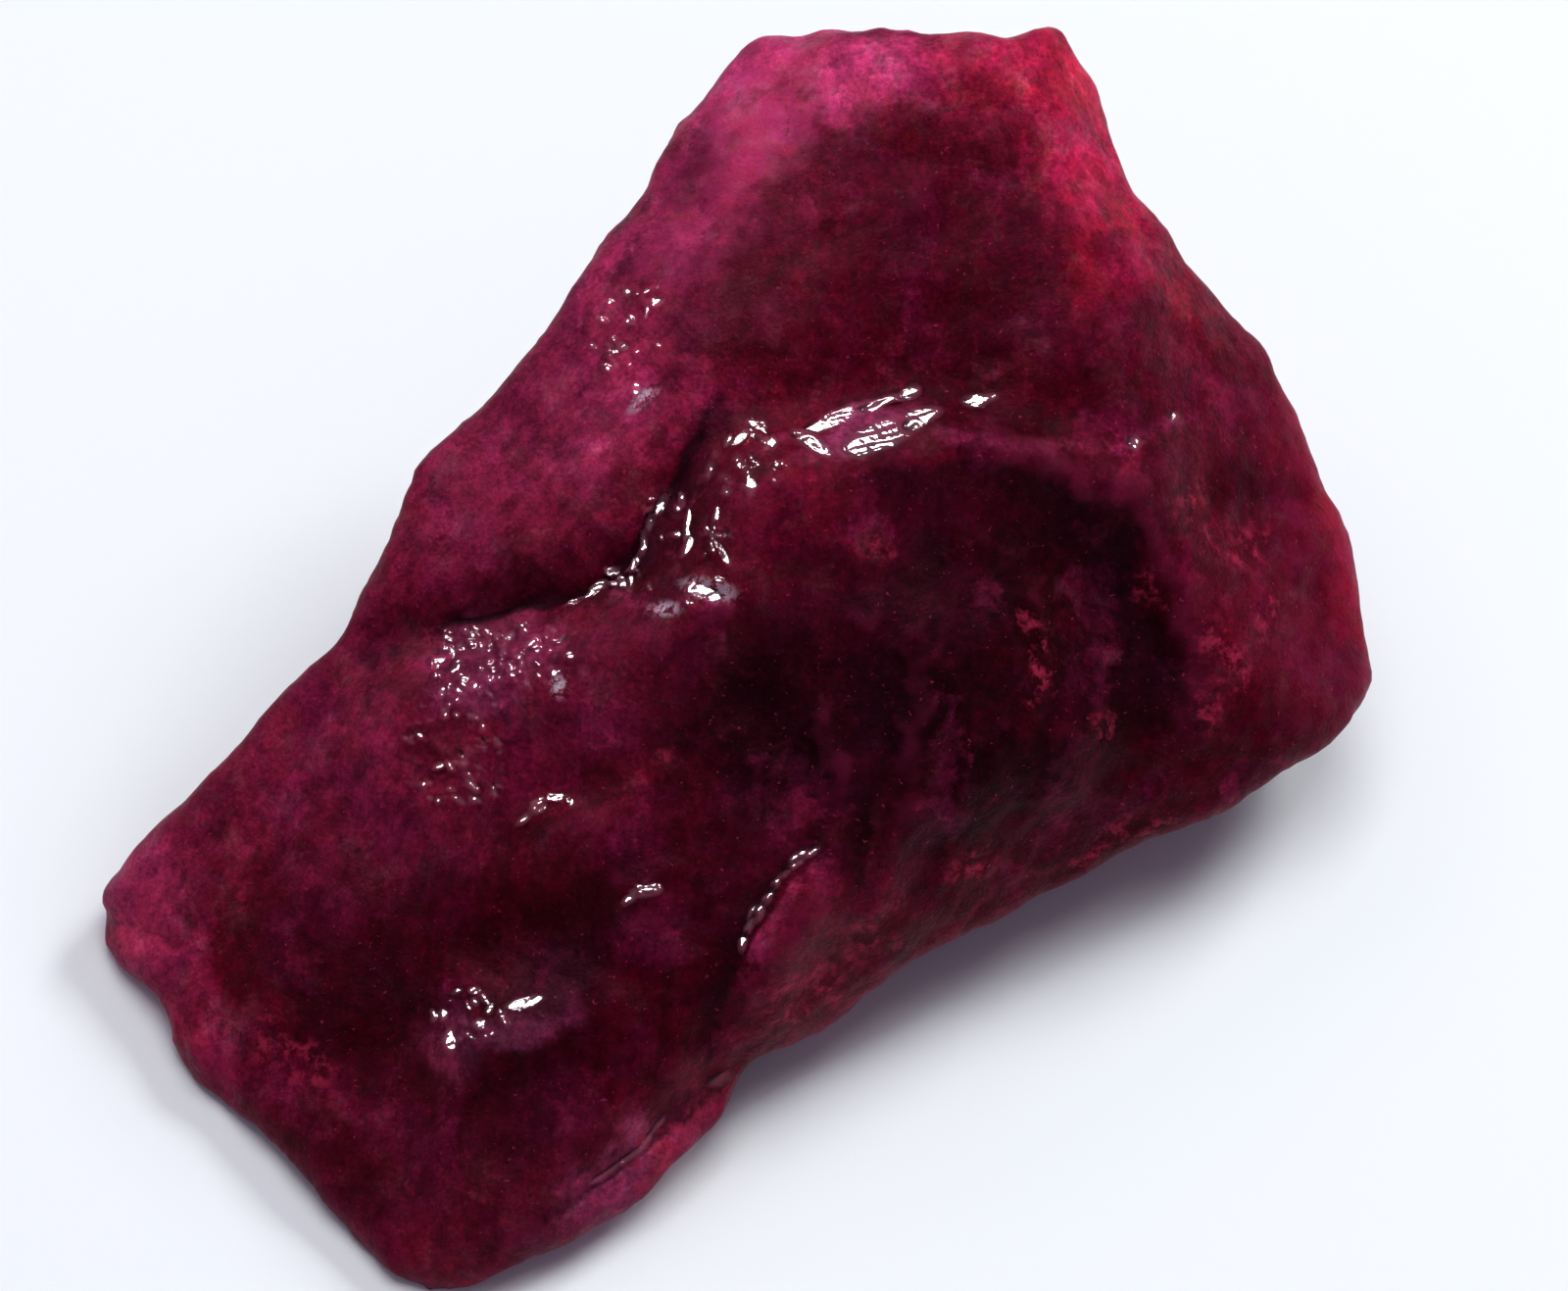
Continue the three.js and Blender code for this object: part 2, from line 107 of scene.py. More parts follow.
# Thin raised edges along cracks, which catch the light as lines: route, height and half width.
BEADS = [
    {"route": [(-3.9, 4.3), (-4.5, 3.1), (-4.9, 2.6), (-4.9, 1.8)], "height": 0.11, "wide": 0.10},
    {"route": [(-2.1, 4.1), (-2.2, 3.4), (-1.8, 2.8)], "height": 0.12, "wide": 0.11},
    {"route": [(-3.0, 4.0), (-3.0, 3.1), (-3.2, 2.6)], "height": 0.08, "wide": 0.10},
    {"route": [(-6.6, 1.5), (-5.9, 1.9), (-5.1, 2.0), (-4.9, 1.6)], "height": 0.09, "wide": 0.10},
    {"route": [(0.9, -6.5), (-0.2, -7.4), (-1.1, -8.8), (-1.5, -9.8)], "height": 0.13, "wide": 0.12},
    {"route": [(-4.0, -15.3), (-4.9, -16.2), (-6.2, -17.1)], "height": 0.12, "wide": 0.11},
    {"route": [(-8.2, -5.4), (-7.7, -4.9), (-7.1, -4.8), (-6.7, -5.0)], "height": 0.12, "wide": 0.11},
    {"route": [(-4.8, -7.9), (-4.3, -7.6), (-3.8, -7.7)], "height": 0.12, "wide": 0.11},
    {"route": [(-1.3, 6.5), (-0.8, 6.8), (-0.5, 6.6)], "height": 0.12, "wide": 0.11},
    {"route": [(-10.1, -3.6), (-9.9, -4.4), (-9.6, -4.8)], "height": 0.09, "wide": 0.10},
]


def on_face(points):
    """Places measured on the broken face: to the right, up the face, and out of it."""
    x, y, z = (points - FACE_MIDDLE).T
    up = np.cos(FACE_LEAN) * y + np.sin(FACE_LEAN) * z
    out = np.cos(FACE_LEAN) * z - np.sin(FACE_LEAN) * y
    return np.stack([x, up, out], 1)


def ramp(x, low, high):
    """0 up to low, 1 from high on, and a smooth rise between them."""
    t = np.clip((x - low) / (high - low), 0, 1)
    return t * t * (3 - 2 * t)


def in_oval(places, middle, radii, turn=0.0):
    """The size of the oval through each place, against the oval given."""
    right, up = places[:, 0] - middle[0], places[:, 1] - middle[1]
    cos, sin = np.cos(radians(turn)), np.sin(radians(turn))
    return np.hypot((right * cos + up * sin) / radii[0], (up * cos - right * sin) / radii[1])


def beside(places, route):
    """How far each place is from a route, above zero on its right, and the share along it."""
    nearest, along = np.full(len(places), np.inf), np.zeros(len(places))
    for k in range(len(route) - 1):
        start, way = np.array(route[k]), np.subtract(route[k + 1], route[k])
        off = places[:, :2] - start
        t = np.clip(off @ way / (way @ way), 0, 1)
        gap = np.linalg.norm(off - t[:, None] * way, axis=1)
        gap = np.where(off[:, 0] * way[1] > off[:, 1] * way[0], gap, -gap)
        along = np.where(np.abs(gap) < np.abs(nearest), (k + t) / (len(route) - 1), along)
        nearest = np.where(np.abs(gap) < np.abs(nearest), gap, nearest)
    return nearest, along


def allowed_edge(places, facing):
    """The longest edge that may stay at each place."""
    near = np.zeros(len(places))
    for middle, radii in FINE_PLACES.values():
        near = np.maximum(near, ramp(in_oval(places, middle, radii), *FINE_FADE))
    length = FACE_EDGE + (FINE_EDGE - FACE_EDGE) * near
    for bead in BEADS:
        gap = np.abs(beside(places, bead["route"])[0])
        length = np.minimum(length, BEAD_EDGE + (FACE_EDGE - BEAD_EDGE) * ramp(gap, *BEAD_FADE))
    return np.where(facing > FACE_FROM, length, np.where(facing < BASE_TO, BASE_EDGE, SIDE_EDGE))


def mesh_arrays(mesh):
    """A triangle mesh's points in millimetres, its edges and its triangles."""
    points = np.empty(len(mesh.vertices) * 3)
    mesh.vertices.foreach_get("co", points)
    edges = np.empty(len(mesh.edges) * 2, int)
    mesh.edges.foreach_get("vertices", edges)
    triangles = np.empty(len(mesh.polygons) * 3, int)
    mesh.polygons.foreach_get("vertices", triangles)
    return points.reshape(-1, 3) / MM, edges.reshape(-1, 2), triangles.reshape(-1, 3)


def round_about(values, edges):
    """The mean of each point's neighbours' values."""
    ways_out = np.bincount(edges.ravel(), minlength=len(values))
    total = np.zeros_like(values)
    for k in range(values.shape[1]):
        total[:, k] += np.bincount(edges[:, 0], values[edges[:, 1], k], len(values))
        total[:, k] += np.bincount(edges[:, 1], values[edges[:, 0], k], len(values))
    return total / ways_out[:, None]


def eased(points, edges, rounds):
    """The points with bumps of the mesh's own grain smoothed away, and the base kept flat."""
    on_base = points[:, 2] < BASE_NEAR
    points[on_base, 2] = 0
    for _ in range(rounds):
        for share in (EASE_IN, EASE_OUT):
            moved = points + share * (round_about(points, edges) - points)
            moved[on_base, 2] = 0
            points = moved
    return points


shape = bpy.data.objects.new("shape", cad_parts["ruby"].data.copy())
bpy.context.scene.collection.objects.link(shape)
even = shape.modifiers.new("even", "REMESH")
even.mode, even.voxel_size = "VOXEL", EVEN_SIZE * MM
shaped = shape.evaluated_get(bpy.context.evaluated_depsgraph_get())
stone_mesh = bpy.data.meshes.new_from_object(shaped)
bpy.data.objects.remove(shape)
shard = bmesh.new()
shard.from_mesh(stone_mesh)
bmesh.ops.triangulate(shard, faces=shard.faces)
shard.to_mesh(stone_mesh)
points, edges, _ = mesh_arrays(stone_mesh)
for vertex, point in zip(shard.verts, eased(points, edges, EVEN_ROUNDS)):
    vertex.co = point * MM
for _ in range(CUT_ROUNDS):
    shard.normal_update()
    ends = np.array([[end.co for end in edge.verts] for edge in shard.edges]) / MM
    leans = np.array([sum((f.normal for f in edge.link_faces), Vector()) for edge in shard.edges])
    leans /= np.linalg.norm(leans, axis=1, keepdims=True)
    facing = on_face(leans + FACE_MIDDLE)[:, 2]
    facing = np.where(leans[:, 2] < LEVEL_DOWN, -1, facing)
    lengths = np.linalg.norm(ends[:, 0] - ends[:, 1], axis=1)
    long = lengths > EDGE_SPARE * allowed_edge(on_face(ends.mean(1)), facing)
    cut = [edge for edge, is_long in zip(shard.edges, long) if is_long]
    bmesh.ops.subdivide_edges(shard, edges=cut, cuts=1)
    bmesh.ops.triangulate(shard, faces=[f for f in shard.faces if len(f.verts) > 3])
shard.to_mesh(stone_mesh)
shard.free()
points, edges, triangles = mesh_arrays(stone_mesh)


def looks_of(points):
    """The way the surface looks at each point."""
    a, b, c = (points[triangles[:, k]] for k in range(3))
    across = np.cross(b - a, c - a)
    looks = np.stack([
        sum(np.bincount(triangles[:, k], across[:, axis], len(points)) for k in range(3))
        for axis in range(3)
    ], 1)
    return looks / np.maximum(np.linalg.norm(looks, axis=1, keepdims=True), 1e-12)


points = eased(points, edges, EASE_ROUNDS)
on_base = points[:, 2] == 0
for middle, (right, up), reach in CORNERS:
    share = ramp(in_oval(on_face(points), middle, (reach, reach)), 1, 0)
    share = share * ramp(points[:, 2], 0, FOOT_KEPT)
    points += share[:, None] * (right, up * np.cos(FACE_LEAN), up * np.sin(FACE_LEAN))


# The small relief of the broken face: little faces that tip up and back and so catch the light, a
# crevice at the ledge's foot, bubbles and pits in clusters, thin raised edges along the cracks, and
# the chipped, sugary grain of all the surface.

# How far the skin has to look out of the broken face to carry relief, and how its places wobble.
RELIEF_FROM, RELIEF_FULL = 0.15, 0.5
WOBBLE, WOBBLE_SIZE = 0.22, 1.1

# The little tipped faces: middle, radii and turn. All slope so as to mirror the small light at the
# back left. More of them follow the beads, and small ones lie among the bubbles.
TIPPED_FACES = [
    # on the riser of the ledge, and beside it
    ((1.5, 7.2), (1.3, 0.26), 24), ((3.1, 7.7), (0.9, 0.20), 12), ((3.95, 8.0), (0.32, 0.2), 40),
    ((0.9, 6.4), (0.75, 0.26), -38), ((2.2, 6.15), (0.45, 0.18), -38), ((2.9, 6.5), (1.2, 0.45), 20),
    ((4.3, 7.15), (0.6, 0.3), 25), ((6.2, 7.75), (0.5, 0.2), 15), ((-0.4, 6.4), (0.22, 0.2), 0),
    # above the scoop
    ((11.1, 6.4), (0.26, 0.2), 0), ((12.4, 7.3), (0.2, 0.15), 0),
    # on the lumps of the lower left
    ((-10.6, -12.5), (0.22, 0.4), -15), ((-9.7, -12.0), (0.25, 0.16), 20),
    ((-8.2, -11.3), (0.62, 0.22), 12),
    # on the lower face and its crease
    ((-4.3, -7.7), (0.5, 0.18), 10), ((-7.7, -5.1), (0.3, 0.2), 30), ((-2.1, -13.7), (0.4, 0.16), 20),
    ((0.5, -6.6), (0.35, 0.2), 45), ((-0.9, -8.4), (0.2, 0.4), -30),
    # up the left slope
    ((-4.1, 10.9), (0.36, 0.16), 20), ((-5.1, 9.5), (0.22, 0.16), 0), ((-4.6, 8.2), (0.2, 0.25), -20),
    # in the middle
    ((-1.7, 4.9), (0.18, 0.14), 0), ((-2.2, 5.6), (0.14, 0.26), -20), ((-5.5, 2.3), (0.22, 0.14), 30),
    ((-2.4, 1.7), (0.6, 0.22), -10),
]
TIPPED_SLOPE = (0.22, -0.54)
TIPPED_FADE = (1.25, 0.8)
TIPPED_WOBBLE = 0.9
TIPPED_ALONG = {"every": 0.58, "long": (0.30, 0.42), "wide": 0.11, "share": 1.0, "rippled": 0.3}
TIPPED_SMALL = {"long": (0.10, 0.28), "wide": (0.06, 0.12)}
TIPPED_GRAIN = 0.22
TIPPED_LEVEL = 0.85
TIPPED_RIPPLED = 0.75
RIPPLES = [
    {"turn": 20, "long": 1.6, "wide": 0.34, "height": 0.040},
    {"turn": -42, "long": 0.9, "wide": 0.22, "height": 0.026},
]

# The crevice along the ledge's foot, and how crevice and beads wobble and taper at their ends.
CREVICE = [
    (-10.9, 0.6), (-10.5, 0.8), (-8.3, 1.3), (-6.9, 1.6), (-5.7, 2.1), (-4.5, 3.5), (-3.4, 5.3),
    (-2.7, 6.8),
]
CREVICE_DEPTH, CREVICE_WIDE = 0.28, 0.24
CREVICE_WOBBLE, CREVICE_TAPER = 0.7, 0.3
BEAD_WOBBLE, BEAD_TAPER = 0.3, 0.5

# Fields of bubbles and pits, strewn by chance from a fixed seed, and three ringed pits.
BUBBLE_SEED = 12
BUBBLE_FIELDS = [
    {"at": (-8.9, -0.4), "radii": (2.4, 1.3), "count": 150, "size": (0.08, 0.20), "tipped": 18},
    {"at": (-10.2, -3.2), "radii": (1.9, 1.9), "count": 110, "size": (0.08, 0.20), "tipped": 30},
    {"at": (-3.2, 3.0), "radii": (1.7, 1.8), "count": 44, "size": (0.09, 0.22), "tipped": 9},
    {"at": (-1.2, 5.5), "radii": (1.4, 1.1), "count": 22, "size": (0.10, 0.24), "tipped": 3},
    {"at": (-5.0, 9.9), "radii": (1.1, 1.7), "count": 24, "size": (0.09, 0.20), "tipped": 6},
    {"at": (-10.0, -11.8), "radii": (1.2, 0.9), "count": 20, "size": (0.09, 0.22), "tipped": 9},
]
BUBBLE_HEIGHT = 0.50
BUBBLE_LONG = 1.8
BUBBLE_ROUND = 0.75
BUBBLES_RAISED = 0.62
PIT_DEPTH = 0.7
RING_PITS = [((-9.0, -2.4), 0.42), ((-5.0, 2.2), 0.26), ((-4.2, 11.0), 0.30)]
RING_DEPTH, RING_LIP = 0.07, 0.07
RING_SIDE = (1.0, 0.2)
LIP_AT, LIP_WIDE = 1.1, 0.28

# The grain of all the surface, the pits of the base inside its rim, and what of the relief is wet.
SUGAR = [
    {"size": 1.5, "height": 0.035},
    {"size": 0.70, "height": 0.026},
    {"size": 0.34, "height": 0.016},
]
CHIPS = [
    {"size": 2.3, "height": 0.13},
    {"size": 0.95, "height": 0.08},
    {"size": 0.5, "height": 0.03},
]
CHIP_LEVEL = 0.4
BASE_PITS, BASE_PITS_SIZE = 0.22, 2.2
ALL_ROUND = 0.99
WET_LIFT = (0.01, 0.05)
WET_TIPPED = (0.45, 0.95)
WET_BEAD = (1.6, 0.9)


def grain(points, size):
    """Soft hills and dips of a size, from about -1 to 1."""
    return np.array([noise.noise(Vector(point)) for point in points / size])


def chips(points, size):
    """Small bowls that meet in sharp edges: 0 in a bowl's middle, about 1 on an edge."""
    return np.array([noise.voronoi(Vector(point))[0][0] for point in points / size])


places = on_face(points)
facing = ramp(on_face(looks_of(points) + FACE_MIDDLE)[:, 2], RELIEF_FROM, RELIEF_FULL)
wobble = np.stack([grain(points + shift, WOBBLE_SIZE) for shift in (0, 40)], 1) * WOBBLE
wandered = places[:, :2] + wobble
out_of_face = np.array([0, -np.sin(FACE_LEAN), np.cos(FACE_LEAN)])

chance = np.random.default_rng(BUBBLE_SEED)


def somewhere_in(field):
    """A chance place in an oval field."""
    turn, out = chance.uniform(0, 2 * np.pi), np.sqrt(chance.uniform(0, 1))
    return np.array(field["at"]) + out * np.array(field["radii"]) * (np.cos(turn), np.sin(turn))


tipping = [(*face, TIPPED_RIPPLED) for face in TIPPED_FACES]
for bead in BEADS:
    for start, end in zip(bead["route"], bead["route"][1:]):
        way = np.subtract(end, start)
        turn = np.degrees(np.arctan2(way[1], way[0]))
        for at in np.arange(0, np.linalg.norm(way), TIPPED_ALONG["every"]):
            middle = start + way * at / np.linalg.norm(way)
            radii = (chance.uniform(*TIPPED_ALONG["long"]), TIPPED_ALONG["wide"])
            if chance.uniform() < TIPPED_ALONG["share"]:
                tipping.append((middle, radii, turn, TIPPED_ALONG["rippled"]))
for field in BUBBLE_FIELDS:
    for _ in range(field["tipped"]):
        radii = (chance.uniform(*TIPPED_SMALL["long"]), chance.uniform(*TIPPED_SMALL["wide"]))
        tipping.append((somewhere_in(field), radii, chance.uniform(0, 180), 1.0))

tipped, rippled, up_or_down = (np.zeros(len(points)) for _ in range(3))
for middle, radii, turn, ripple_share in tipping:
    share = in_oval(places[:, :2] + TIPPED_WOBBLE * wobble, middle, radii, turn)
    share = ramp(share, *TIPPED_FADE) * facing
    height = places[:, 2] + up_or_down
    level = np.sum(height * share) / np.sum(share)
    plane = level + (places[:, :2] - middle) @ TIPPED_SLOPE
    up_or_down += share * (plane - height)
    tipped = np.maximum(tipped, share)
    rippled = np.maximum(rippled, share * ripple_share)
for ripple in RIPPLES:
    turn = radians(ripple["turn"])
    along = places[:, 0] * np.cos(turn) + places[:, 1] * np.sin(turn)
    across = places[:, 1] * np.cos(turn) - places[:, 0] * np.sin(turn)
    stretched = np.stack([along / ripple["long"], across / ripple["wide"], 0 * along], 1)
    up_or_down += rippled * ripple["height"] * (1 - 2 * np.abs(grain(stretched, 1)))
points = points + out_of_face * up_or_down[:, None]

looks = looks_of(points)
lift = np.zeros(len(points))
for field in BUBBLE_FIELDS:
    for _ in range(field["count"]):
        middle, size = somewhere_in(field), chance.uniform(*field["size"])
        long = size * chance.uniform(1, BUBBLE_LONG)
        gap = in_oval(wandered, middle, (long, size), chance.uniform(0, 180))
        dome = np.clip(1 - gap ** 2, 0, 1) ** BUBBLE_ROUND * size * BUBBLE_HEIGHT
        is_raised = chance.uniform() < BUBBLES_RAISED
        lift = np.maximum(lift, dome) if is_raised else lift - PIT_DEPTH * dome
for middle, size in RING_PITS:
    gap = np.linalg.norm(wandered - middle, axis=1) / size
    lip = RING_LIP * np.exp(-((gap - LIP_AT) / LIP_WIDE) ** 2)
    lift -= RING_DEPTH * ramp(gap, *RING_SIDE) - lip
wet = np.maximum(ramp(np.abs(lift), *WET_LIFT), ramp(tipped, *WET_TIPPED))
for bead in BEADS:
    gap, along = beside(wandered * BEAD_WOBBLE + places[:, :2] * (1 - BEAD_WOBBLE), bead["route"])
    gap = gap / bead["wide"]
    lift += bead["height"] * np.exp(-gap ** 2) * np.sin(np.pi * along) ** BEAD_TAPER
    wet = np.maximum(wet, ramp(np.abs(gap), *WET_BEAD))
gap, along = beside(places[:, :2] + CREVICE_WOBBLE * wobble, CREVICE)
tapered = np.sin(np.pi * along) ** CREVICE_TAPER
lift -= CREVICE_DEPTH * np.exp(-(gap / CREVICE_WIDE) ** 2) * tapered
lift *= 1 - TIPPED_LEVEL * tipped
points = points + looks * (lift * facing * ~on_base)[:, None]

looks = looks_of(points)
sugar = sum(layer["height"] * grain(points, layer["size"]) for layer in SUGAR)
for chip in CHIPS:
    sugar += chip["height"] * (chips(points, chip["size"]) - CHIP_LEVEL)
sugar *= 1 - (1 - TIPPED_GRAIN) * tipped
points = points + looks * (sugar * ~on_base)[:, None]
inner_base = on_base & (round_about(on_base[:, None].astype(float), edges)[:, 0] > ALL_ROUND)
points[:, 2] += inner_base * BASE_PITS * np.clip(grain(points, BASE_PITS_SIZE), 0, 1)
stone_mesh.vertices.foreach_set("co", (points * MM).ravel())
stone_mesh.update()

# How thin the stone is under each point, for a painted glow where light would come through it, and
# how raised each point is above the surface round it: raised edges are frosted and painted lighter,
# and hollows get painted shade. Wet skin lies only where the surface looks a way that mirrors one of
# the small lights.
THIN, THICK = 0.8, 7.0
UNDER_SKIN = 0.05
RAISED_ROUNDS = 10
RAISED = 0.10
WET_LOOKS = [(-0.19, 0.47, 0.86), (0.17, 0.50, 0.85), (-0.24, 0.65, 0.72)]
WET_FROM, WET_TO = 0.955, 0.985
looks = looks_of(points)
shell = BVHTree.FromPolygons([tuple(p) for p in points], [tuple(t) for t in triangles])
under = [
    shell.ray_cast(Vector(point - UNDER_SKIN * look), Vector(-look))[3] or 0.0
    for point, look in zip(points, looks)
]
level = points
for _ in range(RAISED_ROUNDS):
    level = round_about(level, edges)
raised = np.sum((points - level) * looks, 1) / RAISED
thin = ramp(np.array(under), THICK, THIN)
for _ in range(RAISED_ROUNDS):
    thin = round_about(thin[:, None], edges)[:, 0]
raised = np.clip(0.5 + 0.5 * raised, 0, 1)
toward_light = np.max(on_face(looks + FACE_MIDDLE) @ np.array(WET_LOOKS).T, 1)
wet = wet * facing * ramp(toward_light, WET_FROM, WET_TO)

# Bands of tone along the facets' edges: painted shade along the crevice, the creases, the ledge's
# step and the scoop's rim, and pale bands along ridges and lips, partly frosted and partly painted
# highlight. Each has a route, and how far it reaches on the left and right of it as one goes along
# it. A short reach is a crisp edge. The last number is the band's strength.
SHADE_BANDS = [
    (CREVICE, 0.16, 0.28, 1.0),
    ([(-5.6, 2.2), (-4.5, 3.6), (-3.5, 5.2), (-2.9, 6.6), (-2.5, 7.4)], 0.16, 1.3, 0.9),
    ([(1.3, -5.9), (0.1, -7.1), (-1.1, -8.8), (-1.6, -10.2), (-2.3, -12.9)], 0.14, 1.1, 0.8),
    ([(2.2, 0.2), (3.2, -1.2), (3.1, -2.6), (2.7, -5.2), (2.5, -7.0)], 0.18, 1.2, 0.8),
    ([(-1.4, -1.2), (0.2, -2.5), (0.8, -4.4)], 0.35, 0.35, 0.8),
    ([(2.9, 5.4), (6.2, 5.9), (9.0, 5.0), (10.6, 3.1), (11.0, 0.6), (12.8, -1.3)], 0.22, 2.0, 0.7),
    ([(1.8, 19.5), (4.0, 19.6), (6.8, 19.7)], 0.18, 0.18, 0.8),
    ([(-1.8, -13.8), (-3.0, -14.9), (-5.9, -17.1), (-7.6, -18.3)], 0.12, 0.7, 0.8),
]
PALE_AND_LIT_BANDS = [
    ([(1.8, 19.4), (0.2, 17.2), (-1.3, 15.0), (-3.1, 12.4)], 0.25, 1.1, 0.5),
    ([(-5.9, 6.3), (-4.6, 7.5), (-4.0, 8.1)], 0.22, 0.22, 0.8),
    ([(5.0, 6.6), (8.5, 6.2), (10.5, 6.3), (13.0, 7.3)], 0.4, 0.25, 0.22),
    ([(1.1, -6.7), (-0.8, -8.9), (-1.4, -10.3)], 0.8, 0.10, 0.35),
    ([(-5.4, 1.5), (-3.6, 1.2), (-1.8, 1.4)], 0.35, 0.35, 0.4),
]
BAND_WOBBLE = 0.8
bands = {}
for name, rows in {"dark": SHADE_BANDS, "pale": PALE_AND_LIT_BANDS}.items():
    bands[name] = np.zeros(len(points))
    for route, on_left, on_right, strength in rows:
        gap = beside(places[:, :2] + BAND_WOBBLE * wobble, route)[0]
        band = np.where(gap > 0, ramp(gap, on_right, 0), ramp(-gap, on_left, 0))
        bands[name] = np.maximum(bands[name], strength * band * facing)

stone_mesh.name = "rough_ruby"
stone_mesh.materials.clear()
stone_mesh.shade_smooth()
stone = bpy.data.objects.new("rough_ruby", stone_mesh)
bpy.context.scene.collection.objects.link(stone)
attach(stone, "root")
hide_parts("ruby")


# The stone's finish. Corundum that is cloudy with fine cracks: wine red to magenta, darker where it
# is thick, painted nearly black as shade in the scoop, the hollows and on faces turned from the
# lights, painted lighter on faces turned towards them, with a painted crimson glow where light would
# come through a thin edge, pink sugary crumbs, and a wet-looking skin that glints wherever it tips
# towards the light.

# The stone's tones, in linear light. Besides the stone's own colour, the lighter ones are laid on
# as painted light and glow, and the darker ones as painted shade.
ROSE = (0.52, 0.045, 0.150)
GLOW = (0.44, 0.020, 0.064)
MAGENTA = (0.22, 0.016, 0.055)
MAUVE = (0.24, 0.035, 0.095)
CRIMSON = (0.30, 0.012, 0.038)
WINE = (0.098, 0.0044, 0.0145)
DARK = (0.040, 0.0012, 0.0052)
BLOOD = (0.024, 0.0004, 0.0030)
INK = (0.012, 0.0012, 0.0038)
BLACK = (0.0080, 0.0005, 0.0016)
CRUMB = (0.40, 0.022, 0.060)
RED = (0.36, 0.016, 0.03)
FROST_AND_GLINT = (0.76, 0.60, 0.72)
# A pink painted sheen, laid on the tipped faces and the riser between their glints.
PAINTED_SHEEN = (0.60, 0.22, 0.32)
